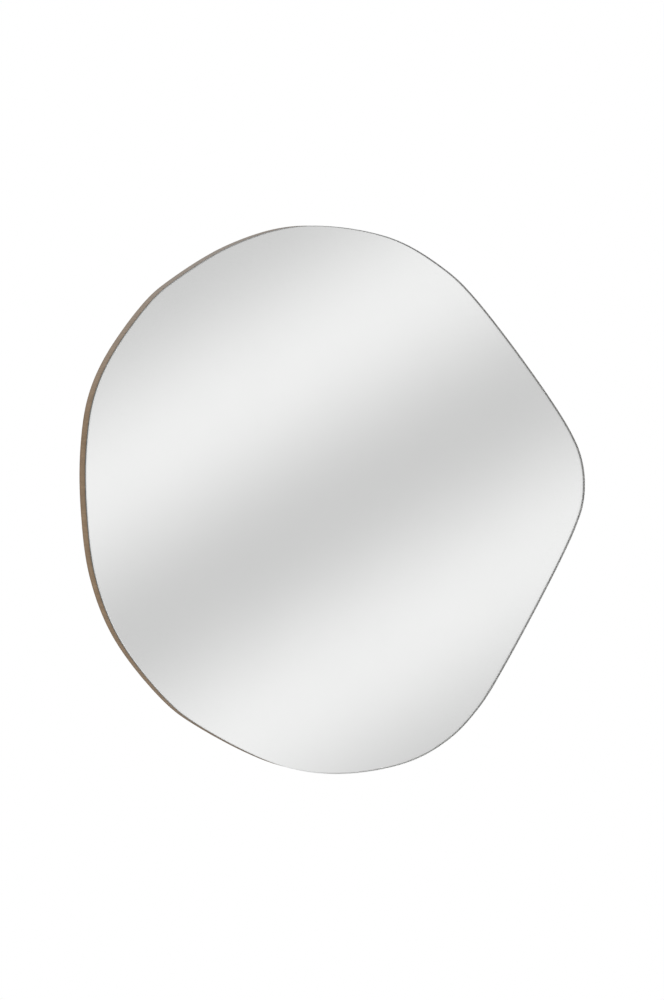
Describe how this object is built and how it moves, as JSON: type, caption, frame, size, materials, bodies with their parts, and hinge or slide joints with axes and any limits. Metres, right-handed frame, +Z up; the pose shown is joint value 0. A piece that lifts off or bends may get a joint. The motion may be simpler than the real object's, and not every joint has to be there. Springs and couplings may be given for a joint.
{
  "type": "wall mirror",
  "caption": "Frameless wall mirror with an irregular pebble outline: silvered glass bonded to a backing board, with folded strap hangers whose rings swing.",
  "frame": {"origin": "middle of the backing board's back face, halfway across the mirror's overall width and height", "axes": "+Z up as the mirror hangs, +Y out of the back towards the wall, +X to the right seen from the front, so the glass faces -Y"},
  "size_m": [0.7, 0.0313, 0.7],
  "materials": {
    "glass": "clear float glass, ground and polished edge",
    "silver": "silvered mirror coating",
    "seal_paint": "grey protective back paint",
    "foam": "white double-sided foam tape",
    "adhesive": "pale cured mirror adhesive",
    "board": "brown fibreboard with a satin sealed edge",
    "zinc_steel": "bright zinc plate",
    "rubber": "matt black rubber"
  },
  "bodies": {
    "panel": {"mirror_glass": "glass", "silver_coating": "silver", "back_paint": "seal_paint", "foam_tape_1": "foam", "foam_tape_2": "foam", "foam_tape_3": "foam", "foam_tape_4": "foam", "foam_tape_5": "foam", "adhesive_bead_1": "adhesive", "adhesive_bead_2": "adhesive", "adhesive_bead_3": "adhesive", "adhesive_bead_4": "adhesive", "backing_board": "board", "left_strap": "zinc_steel", "left_upper_screw": "zinc_steel", "left_lower_screw": "zinc_steel", "right_strap": "zinc_steel", "right_upper_screw": "zinc_steel", "right_lower_screw": "zinc_steel", "upper_right_bumper": "rubber", "upper_left_bumper": "rubber", "lower_left_bumper": "rubber", "lower_right_bumper": "rubber"},
    "left_d_ring": {"left_ring": "zinc_steel"},
    "right_d_ring": {"right_ring": "zinc_steel"}
  },
  "joints": [
    {"name": "left_ring_swing", "type": "hinge", "parent": "panel", "child": "left_d_ring", "pos_m": [-0.21467, 0.0028, 0.15], "axis": [1, 0, 0], "range_deg": [0, 179]},
    {"name": "right_ring_swing", "type": "hinge", "parent": "panel", "child": "right_d_ring", "pos_m": [0.18533, 0.0028, 0.15], "axis": [1, 0, 0], "range_deg": [0, 179]}
  ]
}
